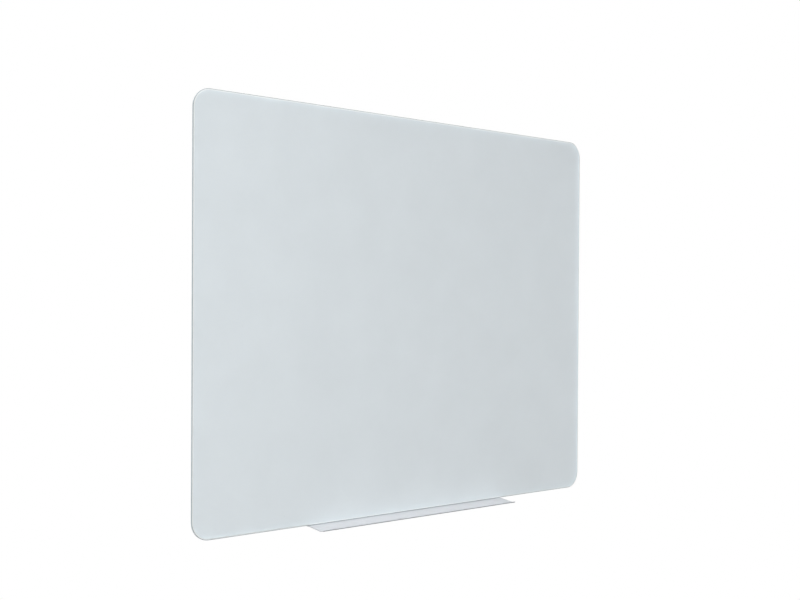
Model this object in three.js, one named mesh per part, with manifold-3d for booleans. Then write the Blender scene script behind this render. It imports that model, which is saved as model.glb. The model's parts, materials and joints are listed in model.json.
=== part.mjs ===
// Frameless magnetic glass whiteboard, hung on a hidden wall rail, with a pen tray that slides along its lower edge.
// Millimetres. +X is right, +Z is up, the writing face looks along -Y, and the wall is the plane Y = 0.
// The origin is the middle of the wall rail's back face. A depth is measured from the wall, so it is -Y.
import * as THREE from "three";
import { mergeVertices } from "three/addons/utils/BufferGeometryUtils.js";
import Module from "manifold-3d";

// Writing panel: glass, fired enamel, adhesive film and the steel sheet that magnets hold on to
const GLASS_WIDTH = 1200;
const GLASS_HEIGHT = 900;
const GLASS_THICKNESS = 4;
const GLASS_CORNER_RADIUS = 40;
const GLASS_ARRIS_WIDTH = 2; // flat of the ground edge, across both faces
const GLASS_ARRIS_DEPTH = 0.6; // the same flat, through the thickness
const GLASS_CORNER_STEPS = 20;
const GLASS_ARRIS_STEPS = 1;
const COAT_THICKNESS = 0.3;
const COAT_INSET = 0.4; // from the arris's inner edge to the coat
const ADHESIVE_THICKNESS = 0.5;
const ADHESIVE_MARGIN = 16;
const STEEL_THICKNESS = 0.5;
const STEEL_MARGIN = 12;
const SHEET_CORNER_STEPS = 10;
const BOND_GAP = 0.05; // between two pieces that are bonded face to face

// Wall rail: a base on the wall, and a tongue that stands up in front of a groove
const RAIL_BASE_THICKNESS = 3;
const RAIL_BELOW = 20; // from the datum line down to the base's lower edge
const RAIL_ABOVE = 20; // from the datum line up to the base's upper edge
const RAIL_GROOVE_WIDTH = 4;
const RAIL_TONGUE_THICKNESS = 3;
const RAIL_WEB_HEIGHT = 2; // the web's underside above the datum line
const RAIL_WEB_THICKNESS = 3;
const RAIL_TONGUE_HEIGHT = 16; // from the web's underside to the tongue's tip
const RAIL_SLOT_COUNT = 4;
const RAIL_SLOT_END_INSET = 80; // from the rail's end to the outer slot's middle
const RAIL_SLOT_LENGTH = 12;
const RAIL_SLOT_WIDTH = 5.5;
const RAIL_SLOT_DROP = 9; // from the datum line down to the screw line
const RAIL_DROP = 70; // from the glass's top edge down to the datum line
const PROFILE_EDGE_RADIUS = 0.6;

// Lower cleats: two short lengths of the same rail
const CLEAT_LENGTH = 80;
const CLEAT_END_INSET = 60; // from the hook profile's end to the cleat's outer end
const CLEAT_HOLE_PITCH = 40;
const CLEAT_HOLE_COUNT = 2;
const CLEAT_HOLE_RADIUS = 2.75;
const CLEAT_EXTRA_DROP = 1; // keeps the weight on the upper rail

// Hook profiles: bonded to the steel, with a tongue that drops into the rail's groove
const HOOK_SIDE_INSET = 120; // from the glass's side edge to the hook's end
const HOOK_PLATE_THICKNESS = 2;
const HOOK_PLATE_BELOW = 24; // from the datum line down to the plate's lower edge
const HOOK_WEB_THICKNESS = 3;
const HOOK_TONGUE_THICKNESS = 2.5;
const HOOK_TONGUE_DROP = 10; // from the web's underside down to the tongue's tip
const HOOK_BACK_CLEARANCE = 0.5; // between the hook's tongue and the rail's base
const HOOK_PLATE_CLEARANCE = 1.5; // between the rail's tongue and the hook's plate
const HOOK_WEB_CLEARANCE = 0.6; // between the rail's tip and the hook's web, taken up by the levelling screws
const LOWER_HOOK_RISE = 120; // from the glass's bottom edge up to the lower datum line
const TAPE_THICKNESS = 0.9;
const TAPE_MARGIN = 2;

// Levelling screws: set screws through the upper hook's web, each with a lock nut
const SCREW_RADIUS = 2;
const SCREW_LENGTH = 13;
const SCREW_CHAMFER = 0.5;
const SCREW_HOLE_CLEARANCE = 0.25;
const SCREW_SOCKET_RADIUS = 1.15;
const SCREW_SOCKET_DEPTH = 3;
const SCREW_END_INSET = 45; // from the hook's end to the screw
const SCREW_SEAT_GAP = 0.3;
const NUT_ACROSS_FLATS = 7;
const NUT_HEIGHT = 3.2;

// Rail stops: clips over the rail's tongue at both ends, so the board can't walk sideways
const STOP_LENGTH = 18;
const STOP_SIDE_GAP = 1; // between the stop and the hook's end
const STOP_SKIN = 2.4;
const STOP_CLEARANCE = 0.3;
const STOP_SKIRT = 10; // from the rail's tip down to the stop's lower edge
const STOP_END_MARGIN = 1; // from the stop to the rail's end

// Tray rail: a channel open downwards, bonded to the steel along its lower edge
const CHANNEL_SIDE_INSET = 100; // from the glass's side edge to the channel's end
const CHANNEL_WALL = 1.5;
const CHANNEL_DEPTH = 10;
const CHANNEL_HEIGHT = 13;
const CHANNEL_SLOT = 4;
const CHANNEL_RISE = 4; // from the glass's bottom edge up to the channel
const CHANNEL_PLATE_HEIGHT = 30;
const CHANNEL_EDGE_RADIUS = 0.4;
const TRAY_STOP_LENGTH = 15;
const TRAY_STOP_CLEARANCE = 0.3;
const TRAY_STOP_SCREW_RADIUS = 1.5;
const TRAY_STOP_SCREW_HEAD_RADIUS = 2.9;
const TRAY_STOP_SCREW_HEAD_HEIGHT = 1.8;
const TRAY_STOP_SCREW_BITE = 7; // from the channel's lips up to the screw's tip
const TRAY_STOP_SCREW_RECESS_DEPTH = 0.9;
const TRAY_STOP_SCREW_RECESS_WIDTH = 0.9;
const TRAY_STOP_SCREW_RECESS_LENGTH = 3.4;

// Pen tray: one bent sheet, carried by two sliders in the channel
const TRAY_WIDTH = 605;
const TRAY_THICKNESS = 2;
const TRAY_GLASS_GAP = 1.2; // between the glass's bottom edge and the sheet
const TRAY_SHELF_DEPTH = 35.5;
const TRAY_SHELF_DROP = 5.4; // the shelf falls this far towards the front
const TRAY_LIP_DEPTH = 11.5;
const TRAY_LIP_RISE = 1.5;
const TRAY_BEND_RADIUS = 1.6; // inside radius of each bend
const TRAY_UPSTAND_INSET = 3; // from the slider's top down to the upstand's top edge
const SLIDER_LENGTH = 60;
const SLIDER_END_INSET = 60; // from the tray's end to the slider
const SLIDER_CLEARANCE = 0.4;
const SLIDER_SLIT_CLEARANCE = 0.3;
const PIN_RADIUS = 1.5;
const PIN_CLEARANCE = 0.2;
const PIN_SPACING = 40;
const PINS_PER_SLIDER = 2;

// Bumpers: rubber feet that keep the board parallel to the wall
const BUMPER_BASE_RADIUS = 12;
const BUMPER_TIP_RADIUS = 9;
const BUMPER_TIP_ROUND = 1.5;
const BUMPER_RIM_HEIGHT = 3;
const BUMPER_INSET = 60; // from the glass's edges to the bumper's centre
const BUMPER_WALL_GAP = 0.3;

// Mesh steps and the overrun that lets a cutting tool pass right through
const ROUND_STEPS = 24;
const FILLET_STEPS = 3;
const HEX_SIDES = 6;
const OVERRUN = 1;

// Lengths that follow from the glass's width
const HOOK_LENGTH = GLASS_WIDTH - HOOK_SIDE_INSET * 2;
const RAIL_LENGTH = HOOK_LENGTH + (STOP_SIDE_GAP + STOP_LENGTH + STOP_END_MARGIN) * 2;
const RAIL_SLOT_PITCH = (RAIL_LENGTH - RAIL_SLOT_END_INSET * 2) / (RAIL_SLOT_COUNT - 1);
const CLEAT_OFFSET = HOOK_LENGTH / 2 - CLEAT_END_INSET - CLEAT_LENGTH / 2;
const CHANNEL_LENGTH = GLASS_WIDTH - CHANNEL_SIDE_INSET * 2;
const SLIDER_OFFSET = TRAY_WIDTH / 2 - SLIDER_END_INSET - SLIDER_LENGTH / 2;

// Heights of the main edges
const GLASS_TOP = RAIL_DROP;
const GLASS_BOTTOM = GLASS_TOP - GLASS_HEIGHT;
const PANEL_CENTRE = (GLASS_TOP + GLASS_BOTTOM) / 2;
const RAIL_TIP = RAIL_WEB_HEIGHT + RAIL_TONGUE_HEIGHT;
const HOOK_WEB_UNDERSIDE = RAIL_TIP + HOOK_WEB_CLEARANCE;
const HOOK_TOP = HOOK_WEB_UNDERSIDE + HOOK_WEB_THICKNESS;
const LOWER_DATUM = GLASS_BOTTOM + LOWER_HOOK_RISE;
const CHANNEL_BOTTOM = GLASS_BOTTOM + CHANNEL_RISE;
const CHANNEL_TOP = CHANNEL_BOTTOM + CHANNEL_HEIGHT;

// Depths from the wall
const GROOVE_BACK = RAIL_BASE_THICKNESS;
const TONGUE_BACK = GROOVE_BACK + RAIL_GROOVE_WIDTH;
const TONGUE_FRONT = TONGUE_BACK + RAIL_TONGUE_THICKNESS;
const TONGUE_MIDDLE = (TONGUE_BACK + TONGUE_FRONT) / 2;
const HOOK_PLATE_BACK = TONGUE_FRONT + HOOK_PLATE_CLEARANCE;
const HOOK_PLATE_FRONT = HOOK_PLATE_BACK + HOOK_PLATE_THICKNESS;
const TAPE_BACK = HOOK_PLATE_FRONT + BOND_GAP;
const STEEL_BACK = TAPE_BACK + TAPE_THICKNESS + BOND_GAP;
const ADHESIVE_BACK = STEEL_BACK + STEEL_THICKNESS + BOND_GAP;
const COAT_BACK = ADHESIVE_BACK + ADHESIVE_THICKNESS + BOND_GAP;
const GLASS_BACK = COAT_BACK + COAT_THICKNESS + BOND_GAP;
const GLASS_FRONT = GLASS_BACK + GLASS_THICKNESS;
const CHANNEL_FRONT = HOOK_PLATE_FRONT;
const CHANNEL_BACK = CHANNEL_FRONT - CHANNEL_DEPTH;
const CHANNEL_MIDDLE = (CHANNEL_FRONT + CHANNEL_BACK) / 2;

const wasm = await Module();
wasm.setup();

const board = new THREE.Group();

const FINISH = {
  glass: { color: 0xd6dfe2, roughness: 0.06, metalness: 0 },
  enamel: { color: 0xe9eef0, roughness: 0.5, metalness: 0 },
  adhesive: { color: 0xcfd0cc, roughness: 0.7, metalness: 0 },
  zinc: { color: 0xa9adb0, roughness: 0.45, metalness: 0.9 },
  aluminium: { color: 0xc4c7c9, roughness: 0.38, metalness: 0.85 },
  traySheet: { color: 0xdde1e6, roughness: 0.42, metalness: 0 },
  foamTape: { color: 0x3a3d3f, roughness: 0.9, metalness: 0 },
  rubber: { color: 0x2b2c2d, roughness: 0.85, metalness: 0 },
  nylon: { color: 0xd9dad6, roughness: 0.5, metalness: 0 },
  screwSteel: { color: 0x8d9194, roughness: 0.35, metalness: 0.95 },
};

// One piece of the board: a mesh with its own material, moved to its place.
function addPiece(name, geometry, finish, x = 0, depth = 0, z = 0) {
  const mesh = new THREE.Mesh(geometry, new THREE.MeshStandardMaterial(FINISH[finish]));
  mesh.name = name;
  mesh.position.set(x, -depth, z);
  board.add(mesh);
  return mesh;
}

// A closed outline whose corners are rounded. Each corner is [across, up, radius].
function roundedOutline(corners) {
  const shape = new THREE.Shape();
  const points = corners.map(([across, up]) => new THREE.Vector2(across, up));
  corners.forEach((corner, i) => {
    const here = points[i];
    const before = points[(i + points.length - 1) % points.length].clone().sub(here);
    const after = points[(i + 1) % points.length].clone().sub(here);
    const halfAngle = Math.abs(before.angleTo(after)) / 2;
    const wanted = (corner[2] ?? 0) / Math.tan(halfAngle);
    const reach = Math.min(wanted, before.length() / 2, after.length() / 2);
    const enter = here.clone().addScaledVector(before.normalize(), reach);
    const leave = here.clone().addScaledVector(after.normalize(), reach);
    if (i === 0) shape.moveTo(enter.x, enter.y);
    else shape.lineTo(enter.x, enter.y);
    if (reach > 0) shape.quadraticCurveTo(here.x, here.y, leave.x, leave.y);
  });
  shape.closePath();
  return shape;
}

// A rectangle with round corners, centred on zero.
function roundedRectangle(width, height, radius) {
  const shape = new THREE.Shape();
  const right = width / 2 - radius;
  const top = height / 2 - radius;
  shape.moveTo(right + radius, -top);
  shape.absarc(right, top, radius, 0, Math.PI / 2, false);
  shape.absarc(-right, top, radius, Math.PI / 2, Math.PI, false);
  shape.absarc(-right, -top, radius, Math.PI, (Math.PI * 3) / 2, false);
  shape.absarc(right, -top, radius, (Math.PI * 3) / 2, Math.PI * 2, false);
  return shape;
}

// A section of [depth, height, radius] corners, run along X and centred on zero.
function profileAlongX(corners, length) {
  const outline = roundedOutline(corners.map(([depth, up, radius]) => [-depth, up, radius]));
  const geometry = new THREE.ExtrudeGeometry(outline, {
    depth: length,
    bevelEnabled: false,
    curveSegments: FILLET_STEPS,
  });
  geometry.translate(0, 0, -length / 2);
  const acrossIsY = new THREE.Vector3(0, 1, 0);
  const upIsZ = new THREE.Vector3(0, 0, 1);
  const alongIsX = new THREE.Vector3(1, 0, 0);
  return geometry.applyMatrix4(new THREE.Matrix4().makeBasis(acrossIsY, upIsZ, alongIsX));
}

// An outline in X and Z, given a thickness that runs away from the wall.
function slab(outline, thickness, curveSegments) {
  const options = { depth: thickness, bevelEnabled: false, curveSegments };
  return facingTheRoom(new THREE.ExtrudeGeometry(outline, options));
}

function facingTheRoom(geometry) {
  const alongIsX = new THREE.Vector3(1, 0, 0);
  const upIsZ = new THREE.Vector3(0, 0, 1);
  const outIsMinusY = new THREE.Vector3(0, -1, 0);
  return geometry.applyMatrix4(new THREE.Matrix4().makeBasis(alongIsX, upIsZ, outIsMinusY));
}

function solidOf(geometry) {
  const bare = geometry.clone();
  for (const name of Object.keys(bare.attributes)) if (name !== "position") bare.deleteAttribute(name);
  const merged = mergeVertices(bare);
  return new wasm.Manifold(
    new wasm.Mesh({
      numProp: 3,
      vertProperties: merged.attributes.position.array,
      triVerts: new Uint32Array(merged.index.array),
    }),
  );
}

// The first geometry with all the others cut out of it.
function cut(geometry, tools) {
  const solid = tools.reduce((left, tool) => left.subtract(solidOf(tool)), solidOf(geometry));
  const { numProp, vertProperties, triVerts } = solid.getMesh();
  const result = new THREE.BufferGeometry();
  result.setAttribute("position", new THREE.InterleavedBufferAttribute(
    new THREE.InterleavedBuffer(vertProperties, numProp), 3, 0));
  result.setIndex(new THREE.BufferAttribute(triVerts, 1));
  const flat = result.toNonIndexed();
  flat.computeVertexNormals();
  return flat;
}

function uprightCylinder(radius, height, centreZ, sides = ROUND_STEPS) {
  return new THREE.CylinderGeometry(radius, radius, height, sides)
    .rotateX(Math.PI / 2)
    .translate(0, 0, centreZ);
}

function levelCylinder(radius, length) {
  return new THREE.CylinderGeometry(radius, radius, length, ROUND_STEPS);
}

// Evenly spaced places, centred on zero.
function places(count, pitch) {
  return Array.from({ length: count }, (_, i) => (i - (count - 1) / 2) * pitch);
}

const SIDES = [["left", -1], ["right", 1]];

// The rail's section, with heights measured from its datum line
function railSection() {
  const soft = PROFILE_EDGE_RADIUS;
  const webTop = RAIL_WEB_HEIGHT + RAIL_WEB_THICKNESS;
  return [
    [0, -RAIL_BELOW, 0],
    [RAIL_BASE_THICKNESS, -RAIL_BELOW, soft],
    [RAIL_BASE_THICKNESS, RAIL_WEB_HEIGHT, soft],
    [TONGUE_FRONT, RAIL_WEB_HEIGHT, soft],
    [TONGUE_FRONT, RAIL_TIP, soft],
    [TONGUE_BACK, RAIL_TIP, soft],
    [TONGUE_BACK, webTop, soft],
    [GROOVE_BACK, webTop, soft],
    [GROOVE_BACK, RAIL_ABOVE, soft],
    [0, RAIL_ABOVE, 0],
  ];
}

function screwSlot() {
  const half = (RAIL_SLOT_LENGTH - RAIL_SLOT_WIDTH) / 2;
  const slot = new THREE.Shape();
  slot.absarc(half, 0, RAIL_SLOT_WIDTH / 2, -Math.PI / 2, Math.PI / 2, false);
  slot.absarc(-half, 0, RAIL_SLOT_WIDTH / 2, Math.PI / 2, (Math.PI * 3) / 2, false);
  const tool = slab(slot, RAIL_BASE_THICKNESS + OVERRUN * 2, ROUND_STEPS / 2);
  return tool.translate(0, OVERRUN, -RAIL_SLOT_DROP);
}

function wallRail() {
  const slots = places(RAIL_SLOT_COUNT, RAIL_SLOT_PITCH).map((x) => screwSlot().translate(x, 0, 0));
  addPiece("wall_rail", cut(profileAlongX(railSection(), RAIL_LENGTH), slots), "aluminium");
}

function lowerCleats() {
  const holeLength = RAIL_BASE_THICKNESS + OVERRUN * 2;
  const holes = places(CLEAT_HOLE_COUNT, CLEAT_HOLE_PITCH).map((x) =>
    levelCylinder(CLEAT_HOLE_RADIUS, holeLength).translate(x, -RAIL_BASE_THICKNESS / 2, -RAIL_SLOT_DROP));
  for (const [side, sign] of SIDES) {
    const cleat = cut(profileAlongX(railSection(), CLEAT_LENGTH), holes);
    const z = LOWER_DATUM - CLEAT_EXTRA_DROP;
    addPiece(`lower_cleat_${side}`, cleat, "aluminium", sign * CLEAT_OFFSET, 0, z);
  }
}

// A clip over the rail's tongue: an upside-down U
function railStops() {
  const slotBack = TONGUE_BACK - STOP_CLEARANCE;
  const slotFront = TONGUE_FRONT + STOP_CLEARANCE;
  const slotTop = RAIL_TIP + STOP_CLEARANCE;
  const foot = RAIL_TIP - STOP_SKIRT;
  const soft = PROFILE_EDGE_RADIUS;
  const section = [
    [slotBack - STOP_SKIN, foot, soft],
    [slotBack, foot, 0],
    [slotBack, slotTop, 0],
    [slotFront, slotTop, 0],
    [slotFront, foot, 0],
    [slotFront + STOP_SKIN, foot, soft],
    [slotFront + STOP_SKIN, slotTop + STOP_SKIN, soft],
    [slotBack - STOP_SKIN, slotTop + STOP_SKIN, soft],
  ];
  const offset = HOOK_LENGTH / 2 + STOP_SIDE_GAP + STOP_LENGTH / 2;
  for (const [side, sign] of SIDES)
    addPiece(`rail_stop_${side}`, profileAlongX(section, STOP_LENGTH), "nylon", sign * offset);
}

// The hook's section: plate, web and a tongue that points down
function hookSection() {
  const soft = PROFILE_EDGE_RADIUS;
  const tongueBack = GROOVE_BACK + HOOK_BACK_CLEARANCE;
  const tongueFront = tongueBack + HOOK_TONGUE_THICKNESS;
  const tongueTip = HOOK_WEB_UNDERSIDE - HOOK_TONGUE_DROP;
  return [
    [HOOK_PLATE_FRONT, -HOOK_PLATE_BELOW, 0],
    [HOOK_PLATE_FRONT, HOOK_TOP, 0],
    [tongueBack, HOOK_TOP, soft],
    [tongueBack, tongueTip, soft],
    [tongueFront, tongueTip, soft],
    [tongueFront, HOOK_WEB_UNDERSIDE, soft],
    [HOOK_PLATE_BACK, HOOK_WEB_UNDERSIDE, soft],
    [HOOK_PLATE_BACK, -HOOK_PLATE_BELOW, soft],
  ];
}

const SCREW_OFFSET = HOOK_LENGTH / 2 - SCREW_END_INSET;

function hookProfiles() {
  const holeHeight = HOOK_WEB_THICKNESS + OVERRUN * 2;
  const holeCentre = HOOK_WEB_UNDERSIDE + HOOK_WEB_THICKNESS / 2;
  const screwHoles = SIDES.map(([, sign]) =>
    uprightCylinder(SCREW_RADIUS + SCREW_HOLE_CLEARANCE, holeHeight, holeCentre)
      .translate(sign * SCREW_OFFSET, -TONGUE_MIDDLE, 0));
  const upper = cut(profileAlongX(hookSection(), HOOK_LENGTH), screwHoles);
  addPiece("upper_hook_profile", upper, "aluminium");
  const lower = profileAlongX(hookSection(), HOOK_LENGTH);
  addPiece("lower_hook_profile", lower, "aluminium", 0, 0, LOWER_DATUM);
}

// A strip of foam tape between a profile's plate and the steel
function addTape(name, plateLength, plateBottom, plateTop) {
  const height = plateTop - plateBottom - TAPE_MARGIN * 2;
  const strip = slab(
    roundedRectangle(plateLength - TAPE_MARGIN * 2, height, PROFILE_EDGE_RADIUS),
    TAPE_THICKNESS,
    FILLET_STEPS,
  );
  addPiece(name, strip, "foamTape", 0, TAPE_BACK, (plateTop + plateBottom) / 2);
}

function tapes() {
  addTape("upper_hook_tape", HOOK_LENGTH, -HOOK_PLATE_BELOW, HOOK_TOP);
  addTape("lower_hook_tape", HOOK_LENGTH, LOWER_DATUM - HOOK_PLATE_BELOW, LOWER_DATUM + HOOK_TOP);
  const plateTop = CHANNEL_BOTTOM + CHANNEL_PLATE_HEIGHT;
  const plateBottom = Math.max(CHANNEL_BOTTOM, GLASS_BOTTOM + STEEL_MARGIN - TAPE_MARGIN);
  addTape("tray_rail_tape", CHANNEL_LENGTH, plateBottom, plateTop);
}

function writingPanel() {
  const bevel = {
    depth: GLASS_THICKNESS - GLASS_ARRIS_DEPTH * 2,
    bevelEnabled: true,
    bevelThickness: GLASS_ARRIS_DEPTH,
    bevelSize: GLASS_ARRIS_WIDTH,
    bevelOffset: -GLASS_ARRIS_WIDTH,
    bevelSegments: GLASS_ARRIS_STEPS,
    curveSegments: GLASS_CORNER_STEPS,
  };
  const outline = roundedRectangle(GLASS_WIDTH, GLASS_HEIGHT, GLASS_CORNER_RADIUS);
  const pane = new THREE.ExtrudeGeometry(outline, bevel).translate(0, 0, GLASS_ARRIS_DEPTH);
  addPiece("glass_pane", facingTheRoom(pane), "glass", 0, GLASS_BACK, PANEL_CENTRE);

  const coatMargin = GLASS_ARRIS_WIDTH + COAT_INSET;
  const layers = [
    ["white_enamel_coat", "enamel", COAT_BACK, COAT_THICKNESS, coatMargin],
    ["adhesive_film", "adhesive", ADHESIVE_BACK, ADHESIVE_THICKNESS, ADHESIVE_MARGIN],
    ["steel_sheet", "zinc", STEEL_BACK, STEEL_THICKNESS, STEEL_MARGIN],
  ];
  for (const [name, finish, depth, thickness, margin] of layers) {
    const sheet = roundedRectangle(
      GLASS_WIDTH - margin * 2,
      GLASS_HEIGHT - margin * 2,
      GLASS_CORNER_RADIUS - margin,
    );
    addPiece(name, slab(sheet, thickness, SHEET_CORNER_STEPS), finish, 0, depth, PANEL_CENTRE);
  }
}

function levellingScrews() {
  const foot = RAIL_TIP + SCREW_SEAT_GAP;
  const core = SCREW_RADIUS - SCREW_CHAMFER;
  const outline = [
    [0, 0],
    [core, 0],
    [SCREW_RADIUS, SCREW_CHAMFER],
    [SCREW_RADIUS, SCREW_LENGTH - SCREW_CHAMFER],
    [core, SCREW_LENGTH],
    [0, SCREW_LENGTH],
  ].map(([radius, up]) => new THREE.Vector2(radius, up));
  const socketHeight = SCREW_SOCKET_DEPTH + OVERRUN;
  const socketCentre = SCREW_LENGTH - SCREW_SOCKET_DEPTH + socketHeight / 2;
  const socket = uprightCylinder(SCREW_SOCKET_RADIUS, socketHeight, socketCentre, HEX_SIDES);
  const nutCentre = HOOK_TOP + BOND_GAP + NUT_HEIGHT / 2;
  const nutRadius = NUT_ACROSS_FLATS / 2 / Math.cos(Math.PI / HEX_SIDES);
  for (const [side, sign] of SIDES) {
    const rod = new THREE.LatheGeometry(outline, ROUND_STEPS).rotateX(Math.PI / 2);
    const screw = cut(rod, [socket]);
    addPiece(`levelling_screw_${side}`, screw, "screwSteel", sign * SCREW_OFFSET, TONGUE_MIDDLE, foot);
    const nut = cut(uprightCylinder(nutRadius, NUT_HEIGHT, 0, HEX_SIDES).rotateZ(Math.PI / HEX_SIDES), [
      uprightCylinder(SCREW_RADIUS + SCREW_HOLE_CLEARANCE, NUT_HEIGHT + OVERRUN, 0),
    ]);
    addPiece(`levelling_nut_${side}`, nut, "screwSteel", sign * SCREW_OFFSET, TONGUE_MIDDLE, nutCentre);
  }
}

function bumpers() {
  const seat = STEEL_BACK - BOND_GAP;
  const outline = [
    [0, -seat],
    [BUMPER_BASE_RADIUS, -seat],
    [BUMPER_BASE_RADIUS, -seat + BUMPER_RIM_HEIGHT],
    [BUMPER_TIP_RADIUS, -BUMPER_WALL_GAP - BUMPER_TIP_ROUND],
    [BUMPER_TIP_RADIUS - BUMPER_TIP_ROUND, -BUMPER_WALL_GAP],
    [0, -BUMPER_WALL_GAP],
  ].map(([radius, y]) => new THREE.Vector2(radius, y));
  const x = GLASS_WIDTH / 2 - BUMPER_INSET;
  for (const [side, sign] of SIDES) {
    const upper = new THREE.LatheGeometry(outline, ROUND_STEPS);
    addPiece(`bumper_upper_${side}`, upper, "rubber", sign * x, 0, GLASS_TOP - BUMPER_INSET);
    const lower = new THREE.LatheGeometry(outline, ROUND_STEPS);
    addPiece(`bumper_lower_${side}`, lower, "rubber", sign * x, 0, GLASS_BOTTOM + BUMPER_INSET);
  }
}

function trayRail() {
  const soft = CHANNEL_EDGE_RADIUS;
  const innerBack = CHANNEL_BACK + CHANNEL_WALL;
  const innerFront = CHANNEL_FRONT - CHANNEL_WALL;
  const slotBack = CHANNEL_MIDDLE - CHANNEL_SLOT / 2;
  const slotFront = CHANNEL_MIDDLE + CHANNEL_SLOT / 2;
  const lipTop = CHANNEL_BOTTOM + CHANNEL_WALL;
  const ceiling = CHANNEL_TOP - CHANNEL_WALL;
  const plateTop = CHANNEL_BOTTOM + CHANNEL_PLATE_HEIGHT;
  const section = [
    [CHANNEL_FRONT, CHANNEL_BOTTOM, soft],
    [CHANNEL_FRONT, plateTop, soft],
    [innerFront, plateTop, soft],
    [innerFront, CHANNEL_TOP, soft],
    [CHANNEL_BACK, CHANNEL_TOP, soft],
    [CHANNEL_BACK, CHANNEL_BOTTOM, soft],
    [slotBack, CHANNEL_BOTTOM, soft],
    [slotBack, lipTop, soft],
    [innerBack, lipTop, 0],
    [innerBack, ceiling, 0],
    [innerFront, ceiling, 0],
    [innerFront, lipTop, 0],
    [slotFront, lipTop, soft],
    [slotFront, CHANNEL_BOTTOM, soft],
  ];
  addPiece("tray_rail", profileAlongX(section, CHANNEL_LENGTH), "aluminium");
}

// Blocks in the channel's ends, each held by a screw from below
function trayStops() {
  const width = CHANNEL_DEPTH - CHANNEL_WALL * 2 - TRAY_STOP_CLEARANCE * 2;
  const bottom = CHANNEL_BOTTOM + CHANNEL_WALL + TRAY_STOP_CLEARANCE;
  const height = CHANNEL_TOP - CHANNEL_WALL - TRAY_STOP_CLEARANCE - bottom;
  const screwTop = CHANNEL_BOTTOM + CHANNEL_WALL + TRAY_STOP_SCREW_BITE;
  const shankHole = uprightCylinder(
    TRAY_STOP_SCREW_RADIUS + PIN_CLEARANCE,
    (screwTop - bottom) * 2,
    bottom,
  ).translate(0, -CHANNEL_MIDDLE, 0);
  const x = CHANNEL_LENGTH / 2 - TRAY_STOP_LENGTH / 2;
  const headTop = CHANNEL_BOTTOM - BOND_GAP;
  const headBottom = headTop - TRAY_STOP_SCREW_HEAD_HEIGHT;
  const screwOutline = [
    [0, headBottom],
    [TRAY_STOP_SCREW_HEAD_RADIUS, headBottom],
    [TRAY_STOP_SCREW_HEAD_RADIUS, headTop],
    [TRAY_STOP_SCREW_RADIUS, headTop],
    [TRAY_STOP_SCREW_RADIUS, screwTop - TRAY_STOP_SCREW_RADIUS],
    [0, screwTop - BOND_GAP],
  ].map(([radius, up]) => new THREE.Vector2(radius, up));
  const recessBars = [0, Math.PI / 2].map((turn) =>
    new THREE.BoxGeometry(
      TRAY_STOP_SCREW_RECESS_LENGTH,
      TRAY_STOP_SCREW_RECESS_WIDTH,
      TRAY_STOP_SCREW_RECESS_DEPTH * 2,
    ).rotateZ(turn).translate(0, 0, headBottom));
  for (const [side, sign] of SIDES) {
    const block = new THREE.BoxGeometry(TRAY_STOP_LENGTH, width, height)
      .translate(0, -CHANNEL_MIDDLE, bottom + height / 2);
    addPiece(`tray_stop_${side}`, cut(block, [shankHole]), "nylon", sign * x);
    const body = new THREE.LatheGeometry(screwOutline, ROUND_STEPS).rotateX(Math.PI / 2);
    const screw = cut(body, recessBars);
    addPiece(`tray_stop_screw_${side}`, screw, "screwSteel", sign * x, CHANNEL_MIDDLE);
  }
}

// The sheet between a path and the same path moved sideways by the sheet's thickness. Radii are the bends'.
function bentSheet(path, thickness, bendRadius) {
  const points = path.map(([depth, up]) => new THREE.Vector2(depth, up));
  const directions = points.slice(1).map((point, i) => point.clone().sub(points[i]).normalize());
  const normals = directions.map((d) => new THREE.Vector2(d.y, -d.x));
  const moved = points.map((point, i) => {
    const first = normals[Math.max(i - 1, 0)];
    const second = normals[Math.min(i, normals.length - 1)];
    const mitre = first.clone().add(second).normalize();
    return point.clone().addScaledVector(mitre, thickness / mitre.dot(first));
  });
  const last = points.length - 1;
  const radiusAt = (i, side) => {
    if (i === 0 || i === last) return 0;
    const turn = directions[i - 1].cross(directions[i]);
    return turn * side > 0 ? bendRadius + thickness : bendRadius;
  };
  const near = points.map((point, i) => [point.x, point.y, radiusAt(i, 1)]);
  const far = moved.map((point, i) => [point.x, point.y, radiusAt(i, -1)]);
  return [...near, ...far.reverse()];
}

const SLIDER_BOTTOM = CHANNEL_BOTTOM + CHANNEL_WALL + SLIDER_CLEARANCE;
const SLIDER_TOP = CHANNEL_TOP - CHANNEL_WALL - SLIDER_CLEARANCE;
const PIN_HEIGHT = (SLIDER_BOTTOM + SLIDER_TOP - TRAY_UPSTAND_INSET) / 2;
const SLIDER_WIDTH = CHANNEL_DEPTH - CHANNEL_WALL * 2 - SLIDER_CLEARANCE * 2;

function pinPlaces() {
  return SIDES.flatMap(([, sign]) =>
    places(PINS_PER_SLIDER, PIN_SPACING).map((offset) => sign * SLIDER_OFFSET + offset));
}

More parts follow.
